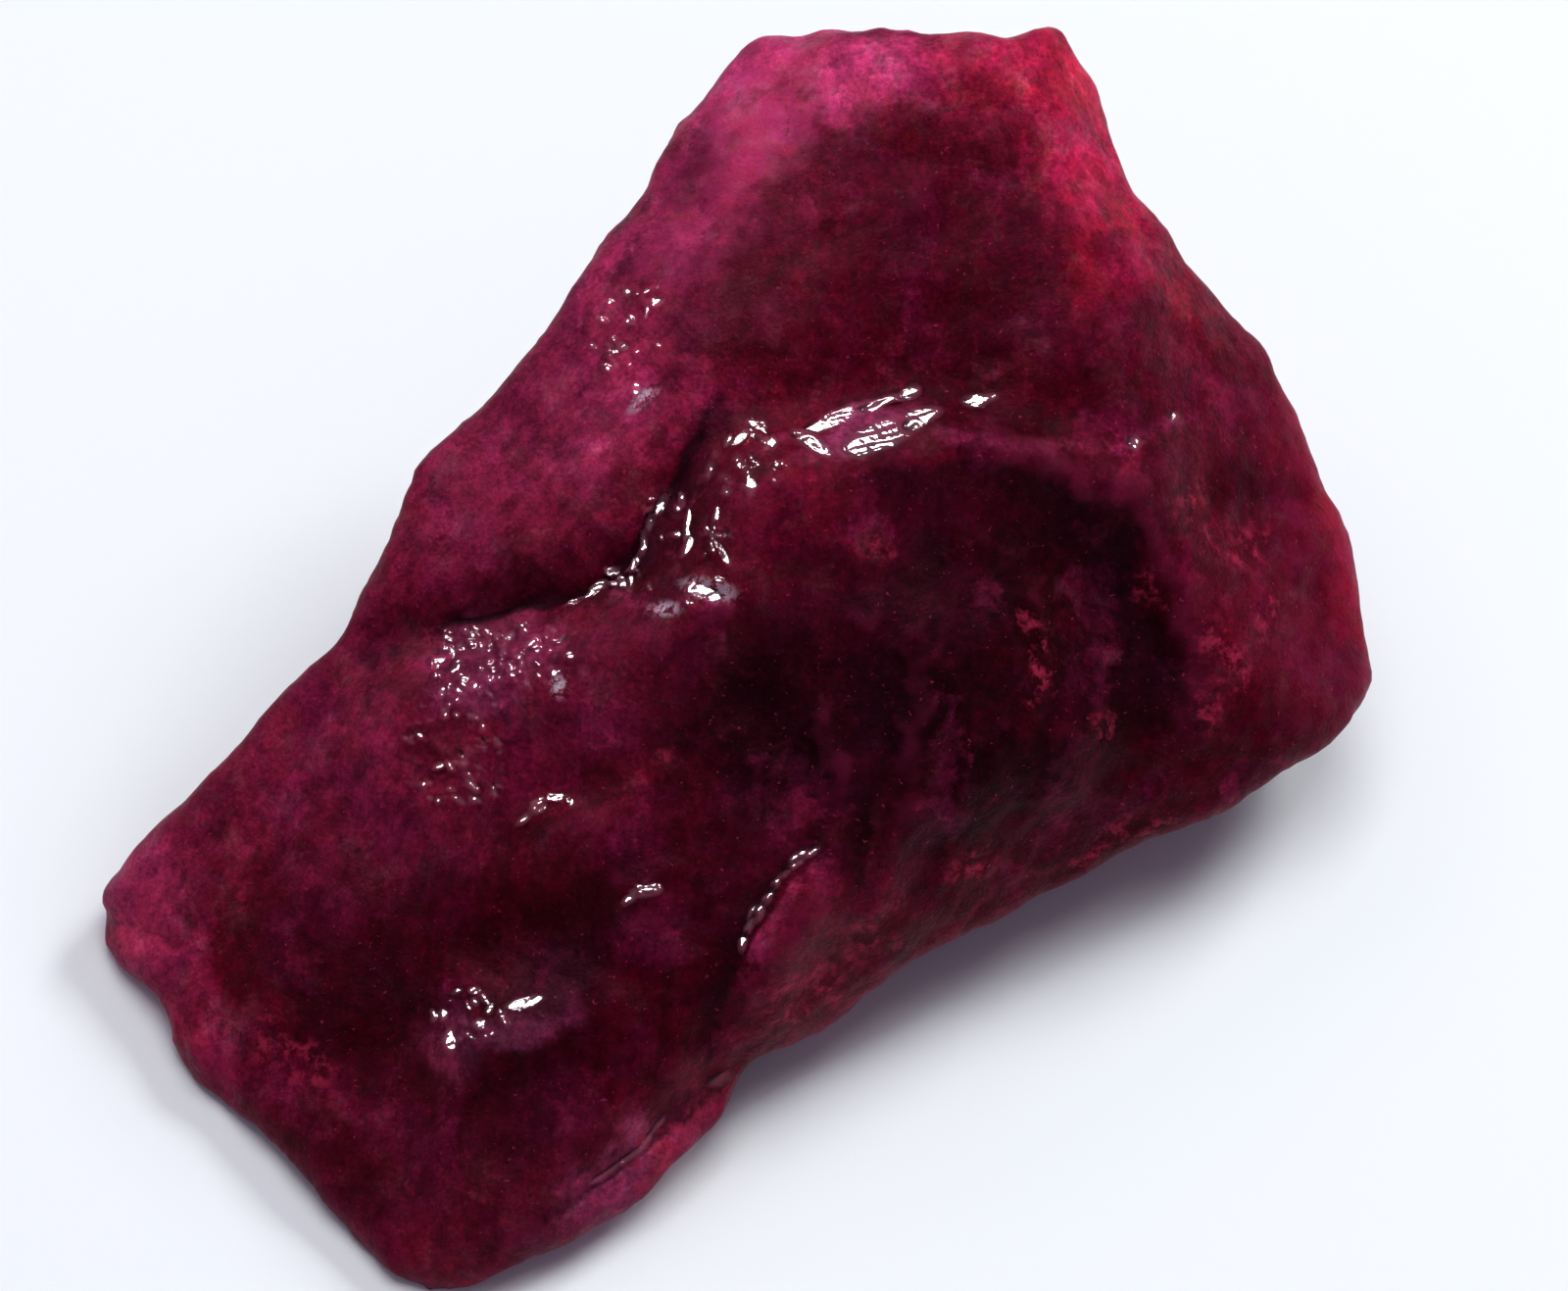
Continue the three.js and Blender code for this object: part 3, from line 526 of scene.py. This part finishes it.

# Zones of tone on the face, each laid over those before it, by what it shows: its tone, middle,
# radii, turn, how soft its rim is, and its strength. All the rest starts as wine. Besides the
# stone's own tones, many zones are painted light and shade: lighter on rims and facets that face
# the lights, a painted crimson glow at thin rims, and painted shade in the scoop, the hollows,
# above the ledge's step and on faces turned away from the lights.
ZONES = [
    ("top", WINE, (3.5, 12.0), (7.5, 6.0), 0, 0.6, 0.6),
    # Rims and facets that face the lights: painted light, and at the thin rims a painted glow.
    ("top left rim", ROSE, (-2.0, 16.6), (2.2, 4.6), -30, 0.5, 0.9),
    ("upper left facet", MAGENTA, (-4.4, 13.0), (1.9, 4.6), -28, 0.5, 0.9),
    ("upper middle", DARK, (5.4, 11.8), (4.6, 4.6), 10, 0.8, 0.90),
    ("top rim", ROSE, (1.6, 18.8), (3.4, 1.5), 0, 0.5, 1.0),
    ("right of the top rim", GLOW, (6.8, 18.8), (3.0, 1.5), 0, 0.6, 0.65),
    ("top right rim", GLOW, (9.4, 17.0), (1.7, 3.6), 20, 0.6, 0.80),
    ("upper right", CRIMSON, (11.4, 11.4), (1.8, 3.6), 35, 0.6, 0.45),
    ("under the top rim", DARK, (6.0, 9.2), (8.0, 1.8), 0, 0.7, 0.5),
    ("upper left slope", MAGENTA, (-8.0, 6.9), (3.0, 6.0), -38, 0.6, 0.80),
    ("lit patch of the slope", ROSE, (-5.6, 7.2), (1.7, 1.9), -30, 0.5, 0.20),
    # Painted shadow of the ledge's step.
    ("above the ledge", DARK, (-8.3, 2.1), (5.2, 0.9), 16, 0.6, 0.75),
    ("left facet", MAGENTA, (-14.0, -5.0), (4.4, 5.2), 46, 0.7, 0.5),
    ("left facet low", DARK, (-16.4, -9.9), (2.8, 2.2), 20, 0.8, 0.85),
    ("left end", ROSE, (-20.8, -8.6), (1.8, 2.4), 0, 0.7, 0.5),
    ("lower left edge", MAGENTA, (-18.6, -12.4), (1.1, 3.4), 40, 0.7, 0.6),
    ("lower middle", DARK, (-9.6, -10.0), (6.0, 4.0), 20, 0.6, 0.97),
    ("lower left hollow", BLOOD, (-12.6, -11.8), (3.6, 2.2), 10, 0.8, 0.9),
    ("under the lumps", BLOOD, (-6.0, -13.2), (4.8, 2.2), 30, 0.7, 0.8),
    ("among the bubbles", MAUVE, (-9.2, -0.5), (2.2, 1.5), 10, 0.5, 0.45),
    ("middle", MAGENTA, (-5.6, -1.3), (2.8, 2.0), 20, 0.8, 0.40),
    ("middle low", BLOOD, (-3.6, -8.8), (2.8, 3.0), 30, 0.8, 0.8),
    # The scoop and the middle below it: painted shade of faces turned from the lights.
    ("scoop", BLACK, (8.4, -0.9), (7.4, 6.9), 15, 0.42, 0.94),
    ("dark middle", INK, (1.0, -2.4), (4.4, 4.8), 0, 0.6, 0.9),
    ("darkest middle", BLACK, (-0.2, -2.2), (2.2, 2.0), 20, 0.7, 0.8),
    ("right of the scoop", BLACK, (12.0, -1.6), (1.6, 2.8), 20, 0.7, 0.92),
    ("low in the scoop", BLACK, (5.0, -3.4), (1.6, 2.2), 20, 0.7, 0.85),
    ("above the scoop", DARK, (8.0, 7.3), (4.6, 1.3), 0, 0.7, 0.7),
    ("right side", WINE, (15.6, 2.6), (3.2, 6.6), 12, 0.5, 0.95),
    ("right slope", DARK, (13.8, 6.8), (2.6, 3.6), 20, 0.6, 0.40),
    ("right of the middle", DARK, (15.8, 2.0), (2.2, 3.6), 10, 0.7, 0.35),
    ("right rim", CRIMSON, (18.1, 3.4), (0.9, 6.4), 16, 0.9, 0.6),
    ("right end", DARK, (14.6, -3.4), (3.8, 1.8), 30, 0.6, 0.85),
    ("lower right edge", DARK, (8.8, -6.0), (7.5, 1.6), 28, 0.6, 0.85),
    ("right of the crease", WINE, (0.8, -10.4), (1.7, 2.4), -30, 0.6, 0.6),
    ("bottom", DARK, (-9.8, -16.8), (4.6, 2.8), 0, 0.8, 0.8),
    ("foot edge", DARK, (-14.6, -16.2), (1.4, 3.4), 40, 0.5, 0.90),
    ("strip under the groove", MAUVE, (-5.0, -16.7), (2.8, 0.8), 38, 0.6, 0.70),
    ("red spot of the strip", RED, (-3.9, -16.3), (0.7, 0.5), 38, 0.5, 0.5),
    ("haze over the bottom", MAUVE, (-10.4, -16.8), (5.6, 2.8), 0, 0.8, 0.07),
    ("lumps", MAUVE, (-8.4, -12.0), (1.7, 0.6), 15, 0.6, 0.45),
    ("lump at their left", MAUVE, (-10.5, -12.9), (0.8, 0.8), 0, 0.7, 0.40),
    ("lump in the middle", MAGENTA, (-4.0, -8.8), (1.2, 1.0), 0, 0.6, 0.30),
    ("hollow above the lumps", INK, (-7.0, -9.9), (2.0, 1.3), 20, 0.6, 0.7),
    ("painted sheen of the riser", MAUVE, (2.3, 6.9), (1.9, 0.6), 22, 0.5, 0.55),
    ("ink spot", INK, (11.6, 10.4), (0.9, 1.0), 0, 0.8, 0.7),
    ("ink spot at the right", INK, (14.7, 5.2), (0.9, 0.9), 0, 0.8, 0.8),
]

# Where sugary crumbs lie, where frosty flakes lie that are partly painted highlight, and where the
# tone is calm: middle, radii and turn.
CRUMB_PLACES = [
    ((-3.6, -3.5), (0.9, 0.4), 0), ((3.0, 3.1), (0.5, 0.35), 0), ((7.9, -0.2), (0.4, 1.2), 0),
    ((10.0, -2.4), (0.5, 0.4), 0), ((12.9, 4.5), (0.6, 0.9), -20), ((11.8, 1.9), (0.45, 0.6), 0),
    ((14.0, -0.5), (0.8, 1.2), 20), ((15.4, 0.9), (0.5, 0.6), 0), ((13.5, -1.9), (0.5, 0.6), 0),
    ((10.6, -6.2), (1.6, 0.35), 25), ((5.9, -7.0), (0.7, 0.5), 0), ((2.9, -9.0), (0.7, 0.5), 30),
    ((0.8, -10.9), (1.6, 0.9), 40), ((-4.6, -16.6), (2.6, 0.7), 38), ((-0.9, 15.2), (0.5, 5.0), -27),
    ((-15.4, -13.4), (1.8, 0.5), -40), ((14.7, 3.4), (0.9, 0.8), 0),
]
FROST_AND_GLINT_PLACES = [
    ((-2.35, 1.75), (0.62, 0.24), -12), ((-3.75, 1.15), (0.40, 0.18), 0),
    ((-7.1, -1.3), (0.20, 0.26), 0), ((-4.5, 7.8), (0.44, 0.16), 40),
]
CALM_PLACES = [((17.0, 1.8), (2.4, 7.0), 14), ((-1.7, 14.8), (1.7, 4.6), -29)]
LEFT_PART = ((-13, 0), (5, 17), -40)
CRUMB_SOFT, FROST_AND_GLINT_SOFT, CALM_SOFT, LEFT_SOFT = 0.6, 0.9, 0.5, 0.4

# How far the drawn places drift from where they are drawn, so that their rims are uneven, and how
# much painted crimson glow, as of light coming through thin parts, is laid on, from which thinness on.
DRIFT, DRIFT_SIZE, DRIFT_OCTAVES = 0.67, 1.8, 5
DRIFT_FALL, DRIFT_STEP = 0.7, 2.0
LIGHT_THROUGH, LIGHT_FROM = 0.7, 0.3


def soft_oval(places, middle, radii, turn, soft):
    """A soft oval patch: 1 inside, 0 outside, and a smooth fall between them."""
    return ramp(in_oval(places, middle, radii, turn), 1 + soft, 1 - soft)


def toward(tones, share, colour):
    """The tones with a share of another laid over them."""
    return tones + share[:, None] * (np.array(colour) - tones)


def any_of(places, ovals, soft):
    """The strongest of several soft ovals at each place."""
    return np.max([soft_oval(places, *oval, soft) for oval in ovals], 0)


drift = [
    [
        noise.fractal(Vector(place), DRIFT_FALL, DRIFT_STEP, DRIFT_OCTAVES)
        for place in places / DRIFT_SIZE + shift
    ]
    for shift in (0, 70)
]
drifted = places[:, :2] + DRIFT * np.array(drift).T
through = LIGHT_THROUGH * ramp(thin, LIGHT_FROM, 1.0)
tones = toward(np.tile(WINE, (len(points), 1)), through, CRIMSON)
for _, colour, middle, radii, turn, soft, strength in ZONES:
    tones = toward(tones, strength * soft_oval(drifted, middle, radii, turn, soft), colour)

# What is drawn by place is kept on the mesh's points, where the finish reads it.
layers = {
    "tone": toward(tones, bands["dark"], INK),
    "pale": bands["pale"],
    "raised": raised,
    "wet": wet,
    "tipped": tipped,
    "crumbly": any_of(drifted, CRUMB_PLACES, CRUMB_SOFT),
    "frost and glint": any_of(places, FROST_AND_GLINT_PLACES, FROST_AND_GLINT_SOFT),
    "calm": any_of(drifted, CALM_PLACES, CALM_SOFT),
    "left part": soft_oval(drifted, *LEFT_PART, LEFT_SOFT),
}
for name, values in layers.items():
    is_tone = name == "tone"
    layer = stone_mesh.attributes.new(name, "FLOAT_VECTOR" if is_tone else "FLOAT", "POINT")
    layer.data.foreach_set("vector" if is_tone else "value", values.ravel())


def add(tree, kind, put=(), **settings):
    """A node of a kind, with its settings, and its inputs linked to sockets or set to values."""
    node = tree.nodes.new("ShaderNode" + kind)
    for name, value in settings.items():
        setattr(node, name, value)
    for socket, value in dict(put).items():
        if isinstance(value, bpy.types.NodeSocket):
            tree.links.new(value, node.inputs[socket])
        else:
            node.inputs[socket].default_value = value
    return node


def effect(name, takes, gives):
    """An empty group with named sockets, its inputs to read and its outputs to link to."""
    tree = bpy.data.node_groups.new(name, "ShaderNodeTree")
    for socket, (kind, value) in takes.items():
        made = tree.interface.new_socket(socket, in_out="INPUT", socket_type="NodeSocket" + kind)
        made.default_value = value
    for socket, kind in gives.items():
        tree.interface.new_socket(socket, in_out="OUTPUT", socket_type="NodeSocket" + kind)
    return tree, tree.nodes.new("NodeGroupInput").outputs, tree.nodes.new("NodeGroupOutput").inputs


def use(tree, group, **put):
    """A group placed in a tree, with its inputs linked or set by name."""
    return add(tree, "Group", put, node_tree=group)


def mixed(tree, share, under, over):
    """One colour laid over another by a share, and the socket it comes out of."""
    return add(tree, "Mix", {0: share, 6: under, 7: over}, data_type="RGBA").outputs[2]


def graded(tree, value, low, high, to_low=0.0, to_high=1.0):
    """A value taken smoothly from one range to another."""
    put = {"Value": value, "From Min": low, "From Max": high, "To Min": to_low, "To Max": to_high}
    return add(tree, "MapRange", put, interpolation_type="SMOOTHSTEP").outputs[0]


def worked(tree, operation, *values):
    """A sum on values, and the socket it comes out of."""
    return add(tree, "Math", dict(enumerate(values)), operation=operation).outputs[0]


# Where a point lies on the broken face, in millimetres, and the same place led astray by waves.
ASTRAY, ASTRAY_WAVES = 3.2, 0.55
place_on_face, _, out = effect("place on the face", {}, {"Place": "Vector", "Uneven": "Vector"})
tree = place_on_face
here = add(tree, "TexCoord").outputs["Object"]
scaled = add(tree, "VectorMath", {0: here, 1: (1 / MM,) * 3}, operation="MULTIPLY").outputs[0]
middled = add(tree, "VectorMath", {0: scaled, 1: tuple(FACE_MIDDLE)}, operation="SUBTRACT")
turned = add(tree, "VectorRotate", {"Vector": middled.outputs[0], "Angle": -FACE_LEAN},
             rotation_type="X_AXIS").outputs[0]
waves = {"Vector": turned, "Scale": ASTRAY_WAVES, "Detail": 4.0, "Roughness": 0.62}
waves = add(tree, "TexNoise", waves).outputs["Color"]
shift = add(tree, "VectorMath", {0: waves, 1: (0.5,) * 3}, operation="SUBTRACT").outputs[0]
shift = add(tree, "VectorMath", {0: shift, 1: (ASTRAY,) * 3}, operation="MULTIPLY").outputs[0]
uneven = add(tree, "VectorMath", {0: turned, 1: shift}, operation="ADD").outputs[0]
tree.links.new(turned, out["Place"])
tree.links.new(uneven, out["Uneven"])

# Cloudiness: noise of a size with a share of finer detail, turned into a mask by two limits.
clouds, take, out = effect("clouds", {
    "Place": ("Vector", (0, 0, 0)), "Size": ("Float", 1.0), "Detail": ("Float", 3.0),
    "Coarse": ("Float", 0.5), "Low": ("Float", 0.4), "High": ("Float", 0.6),
}, {"Mask": "Float"})
tree = clouds
finer = worked(tree, "DIVIDE", 1.0, take["Size"])
haze = add(tree, "TexNoise", {
    "Vector": take["Place"], "Scale": finer, "Detail": take["Detail"], "Roughness": take["Coarse"],
}).outputs["Fac"]
tree.links.new(graded(tree, haze, take["Low"], take["High"]), out["Mask"])

# Streaks: cloudiness drawn out along one way of the face.
streaks, take, out = effect("streaks", {
    "Place": ("Vector", (0, 0, 0)), "Turn": ("Float", 0.0), "Long": ("Float", 3.0),
    "Wide": ("Float", 0.5), "Low": ("Float", 0.35), "High": ("Float", 0.65),
}, {"Mask": "Float"})
tree = streaks
back = worked(tree, "MULTIPLY", take["Turn"], -1.0)
turned = add(tree, "VectorRotate", {"Vector": take["Place"], "Angle": back}, rotation_type="Z_AXIS")
sizes = add(tree, "CombineXYZ", {"X": take["Long"], "Y": take["Wide"], "Z": take["Wide"]})
stretched = {0: turned.outputs[0], 1: sizes.outputs[0]}
stretched = add(tree, "VectorMath", stretched, operation="DIVIDE").outputs[0]
haze = add(tree, "TexNoise", {"Vector": stretched, "Scale": 1.0, "Detail": 5.0, "Roughness": 0.6})
tree.links.new(graded(tree, haze.outputs["Fac"], take["Low"], take["High"]), out["Mask"])

# Cleavage: a patchwork of small flat pieces, each a little lighter or darker than the next.
cleavage, take, out = effect("cleavage", {
    "Place": ("Vector", (0, 0, 0)), "Size": ("Float", 1.0),
}, {"Mask": "Float"})
tree = cleavage
finer = worked(tree, "DIVIDE", 1.0, take["Size"])
pieces = add(tree, "TexVoronoi", {"Vector": take["Place"], "Scale": finer}, feature="F1")
tree.links.new(add(tree, "SeparateColor", {0: pieces.outputs["Color"]}).outputs[0], out["Mask"])


def clouded(tree, tone, colour, share, place, cloud):
    """A tone with a share of a colour laid over it where a cloud lies."""
    mask = use(tree, clouds, Place=place, **cloud).outputs["Mask"]
    return mixed(tree, worked(tree, "MULTIPLY", mask, share), tone, (*colour, 1))


def varied(tree, strength, mask, least, most):
    """A strength taken from least to most of itself by a mask."""
    return worked(tree, "MULTIPLY", strength, graded(tree, mask, 0.0, 1.0, least, most))


# The clouds that lay a colour over the tones, and the shares of it.
WORN_AND_LIT = {"Size": 0.9, "Detail": 5.0, "Coarse": 0.7, "Low": 0.35, "High": 0.6}
PITS = {"Size": 0.7, "Detail": 5.0, "Coarse": 0.7, "Low": 0.58, "High": 0.68}
VEINS = {"Size": 3.0, "Detail": 5.0, "Coarse": 0.65, "Low": 0.50, "High": 0.70}
DEEPS = {"Size": 1.9, "Detail": 5.0, "Coarse": 0.7, "Low": 0.46, "High": 0.70}
SPECKS = {"Size": 0.17, "Detail": 2.0, "Coarse": 0.5, "Low": 0.67, "High": 0.76}
PIT_SHARE, VEIN_SHARE, DEEP_SHARE, SPECK_SHARE = 0.5, 0.30, 0.55, 0.24
CRUMB_SHARE, FROST_AND_GLINT_SHARE, PAINTED_SHEEN_SHARE = 0.6, 0.7, 0.12

# How the tones vary: in strength with blotches, streaks, cleavage and sugar, and in hue and
# saturation. Then the light painted on raised edges and the shade painted in hollows: from where,
# to where, and their shares.
BLOTCHES = (0.80, 1.20)
STREAKS = (0.88, 1.14)
CLEAVAGE_CELLS = ((1.9, 0.84, 1.18), (0.62, 0.88, 1.13))
SUGAR_CLOUDS = ((0.40, 0.84, 1.17), (0.15, 0.78, 1.26))
CALMED = 0.7
HUES, SATURATIONS = (0.493, 0.506), (1.02, 0.95)
FROSTED_AND_LIT_EDGES = (0.58, 0.95, 0.0, 0.22)
HOLLOW_SHADE = (0.45, 0.1, 0.0, 0.6)
ROUGHNESS = (0.36, 0.52)

finish = bpy.data.materials.new("cloudy_ruby")
finish.use_nodes = True
tree = finish.node_tree
tree.nodes.clear()
where = use(tree, place_on_face)
place, uneven = where.outputs["Place"], where.outputs["Uneven"]
drawn = {name: add(tree, "Attribute", attribute_name=name).outputs["Fac"] for name in layers}
tone = drawn["tone"].node.outputs["Vector"]

# Pale edges, partly frosted wear and partly painted highlight, then pits, veins and deeper clouds.
tone = clouded(tree, tone, ROSE, drawn["pale"], place, WORN_AND_LIT)
tone = clouded(tree, tone, DARK, PIT_SHARE, place, PITS)
tone = clouded(tree, tone, MAGENTA, VEIN_SHARE, uneven, VEINS)
tone = clouded(tree, tone, DARK, DEEP_SHARE, place, DEEPS)

# Blotches, streaks, cleavage and sugar in the strength, and a drift of hue and saturation.
blotches = use(tree, clouds, Place=uneven, Size=1.1, Detail=5.0, Coarse=0.6, Low=0.30, High=0.70)
strength = graded(tree, blotches.outputs["Mask"], 0.0, 1.0, *BLOTCHES)
upright = use(tree, streaks, Place=place, Turn=radians(82), Long=2.6, Wide=0.5)
slanting = use(tree, streaks, Place=place, Turn=radians(50), Long=2.8, Wide=0.45)
lines = {0: drawn["left part"], 2: upright.outputs["Mask"], 3: slanting.outputs["Mask"]}
lines = add(tree, "Mix", lines).outputs[0]
strength = varied(tree, strength, lines, *STREAKS)
for size, least, most in CLEAVAGE_CELLS:
    cells = use(tree, cleavage, Place=uneven, Size=size)
    strength = varied(tree, strength, cells.outputs["Mask"], least, most)
for size, least, most in SUGAR_CLOUDS:
    sugar = use(tree, clouds, Place=place, Size=size, Detail=3.0, Coarse=0.7, Low=0.25, High=0.75)
    strength = varied(tree, strength, sugar.outputs["Mask"], least, most)
calm = worked(tree, "MULTIPLY", drawn["calm"], CALMED)
strength = add(tree, "Mix", {0: calm, 2: strength, 3: 1.0}).outputs[0]
tinge = use(tree, clouds, Place=uneven, Size=2.4, Detail=4.0, Coarse=0.75, Low=0.30, High=0.70)
smoke = use(tree, clouds, Place=place, Size=1.3, Detail=4.0, Coarse=0.75, Low=0.45, High=0.72)
tone = add(tree, "HueSaturation", {
    "Hue": graded(tree, tinge.outputs["Mask"], 0.0, 1.0, *HUES),
    "Saturation": graded(tree, smoke.outputs["Mask"], 0.0, 1.0, *SATURATIONS),
    "Value": strength,
    "Color": tone,
}).outputs["Color"]

# Specks, crumbs, and frosty flakes partly painted as highlight, then a painted sheen on the tipped
# faces, the painted light of raised edges and the painted shade of hollows.
tone = clouded(tree, tone, ROSE, SPECK_SHARE, place, SPECKS)
crumbs = use(tree, clouds, Place=place, Size=0.50, Detail=5.0, Coarse=0.68, Low=0.46, High=0.66)
crumbs = worked(tree, "MULTIPLY", crumbs.outputs["Mask"], drawn["crumbly"])
tone = mixed(tree, worked(tree, "MULTIPLY", crumbs, CRUMB_SHARE), tone, (*CRUMB, 1))
broken = use(tree, clouds, Place=place, Size=0.30, Detail=4.0, Coarse=0.7, Low=0.44, High=0.58)
ragged = worked(tree, "MULTIPLY", drawn["frost and glint"], broken.outputs["Mask"])
tone = mixed(tree, worked(tree, "MULTIPLY", ragged, FROST_AND_GLINT_SHARE), tone, (*FROST_AND_GLINT, 1))
tone = mixed(tree, worked(tree, "MULTIPLY", drawn["tipped"], PAINTED_SHEEN_SHARE), tone, (*PAINTED_SHEEN, 1))
tone = mixed(tree, graded(tree, drawn["raised"], *FROSTED_AND_LIT_EDGES), tone, (*MAGENTA, 1))
tone = mixed(tree, graded(tree, drawn["raised"], *HOLLOW_SHADE), tone, (*INK, 1))

fine = add(tree, "TexNoise", {"Vector": place, "Scale": 6.5, "Detail": 4.0, "Roughness": 0.65})
bump = add(tree, "Bump", {"Strength": 0.6, "Distance": 0.07 * MM, "Height": fine.outputs["Fac"]})
rough = graded(tree, fine.outputs["Fac"], 0.3, 0.7, *ROUGHNESS)
skin = add(tree, "BsdfPrincipled", {
    "Base Color": tone,
    "Roughness": rough,
    "Normal": bump.outputs["Normal"],
    "IOR": 1.45,
    "Specular IOR Level": 0.05,
    "Specular Tint": (1.0, 0.35, 0.55, 1.0),
    "Subsurface Weight": 0.20,
    "Subsurface Radius": (1.0, 0.12, 0.30),
    "Subsurface Scale": 0.9 * MM,
    "Coat Weight": drawn["wet"],
    "Coat Roughness": 0.07,
    "Coat IOR": 1.77,
})
add(tree, "OutputMaterial", {"Surface": skin.outputs["BSDF"]})
stone_mesh.materials.append(finish)


# The floor: a wide sheet of matt white paper, faintly cool, that the stone rests on.
FLOOR_REACH = 3.0
PAPER = (0.84, 0.865, 0.89)
floor_mesh = bpy.data.meshes.new("floor")
corners = [(-1, -1, 0), (1, -1, 0), (1, 1, 0), (-1, 1, 0)]
floor_mesh.from_pydata([FLOOR_REACH * Vector(corner) for corner in corners], [], [(0, 1, 2, 3)])
paper = bpy.data.materials.new("white_paper")
paper.use_nodes = True
sheet = paper.node_tree.nodes["Principled BSDF"]
sheet.inputs["Base Color"].default_value = (*PAPER, 1)
sheet.inputs["Roughness"].default_value = 0.9
sheet.inputs["Specular IOR Level"].default_value = 0.1
floor_mesh.materials.append(paper)
floor = bpy.data.objects.new("floor", floor_mesh)
bpy.context.scene.collection.objects.link(floor)
floor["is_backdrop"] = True


# The light: a wide soft box overhead, one behind the stone on each side, and three small ones
# near those, which show only as glints on whatever tips up and back, in a dim room.
BOX_WHITE = (0.96, 1.0, 0.98)
GLINT_WHITE = (1.0, 0.99, 0.98)
GLINT_FAR = 0.60
ROOM_TINT, ROOM_LIGHT = (0.86, 0.72, 1.0), 0.26


def soft_box(name, way_round, up, far, wide, power, colour):
    """An area light that looks at the stone, from a bearing off the stone's back."""
    lamp = bpy.data.lights.new(name, "AREA")
    lamp.shape = "RECTANGLE"
    lamp.size, lamp.size_y = wide
    lamp.energy = power
    lamp.color = colour
    box = bpy.data.objects.new(name, lamp)
    flat, high = np.cos(radians(up)) * far, np.sin(radians(up)) * far
    box.location = (np.sin(radians(way_round)) * flat, np.cos(radians(way_round)) * flat, high)
    box.rotation_euler = (-Vector(box.location)).to_track_quat("-Z", "Y").to_euler()
    bpy.context.scene.collection.objects.link(box)
    return box


for name, way_round, up, far, wide, power in (
    ("above", 30, 84, 0.80, (0.45, 0.45), 3.5),
    ("back_left", -50, 48, 0.70, (0.34, 0.24), 0.25),
    ("back_right", 50, 42, 0.70, (0.26, 0.20), 2.9),
):
    soft_box(name, way_round, up, far, wide, power, BOX_WHITE).visible_glossy = False
for name, way_round, up, wide, power in (
    ("glint_left", -36, 56, (0.18, 0.15), 3.4),
    ("glint_right", 30, 54, (0.12, 0.10), 1.5),
    ("glint_low", -24, 30, (0.08, 0.06), 0.7),
):
    soft_box(name, way_round, up, GLINT_FAR, wide, power, GLINT_WHITE).visible_diffuse = False
room = bpy.data.worlds.new("room")
room.use_nodes = True
around = room.node_tree.nodes["Background"]
around.inputs["Color"].default_value = (*ROOM_TINT, 1)
around.inputs["Strength"].default_value = ROOM_LIGHT
bpy.context.scene.world = room


# The camera, square on to the broken face, as the photograph looks at it. The frame takes in
# 50 mm across the stone from 400 mm away.
CAMERA_FAR = 400 * MM
SENSOR = 36.0
FIELD = 50.0
lens = bpy.data.cameras.new("camera")
lens.sensor_width = SENSOR
lens.lens = SENSOR * CAMERA_FAR / (FIELD * MM)
lens.clip_start, lens.clip_end = 0.05, 10
camera = bpy.data.objects.new("camera", lens)
camera.rotation_euler = (FACE_LEAN, 0, 0)
back = Vector((0, -np.sin(FACE_LEAN), np.cos(FACE_LEAN)))
camera.location = Vector(FACE_MIDDLE) * MM + back * CAMERA_FAR
bpy.context.scene.collection.objects.link(camera)
bpy.context.scene.camera = camera
bpy.context.scene.view_settings.view_transform = "Standard"

look_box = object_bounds()
sizes = {"cad": [list(map(float, c)) for c in cad_box], "visual": [list(map(float, c)) for c in look_box]}
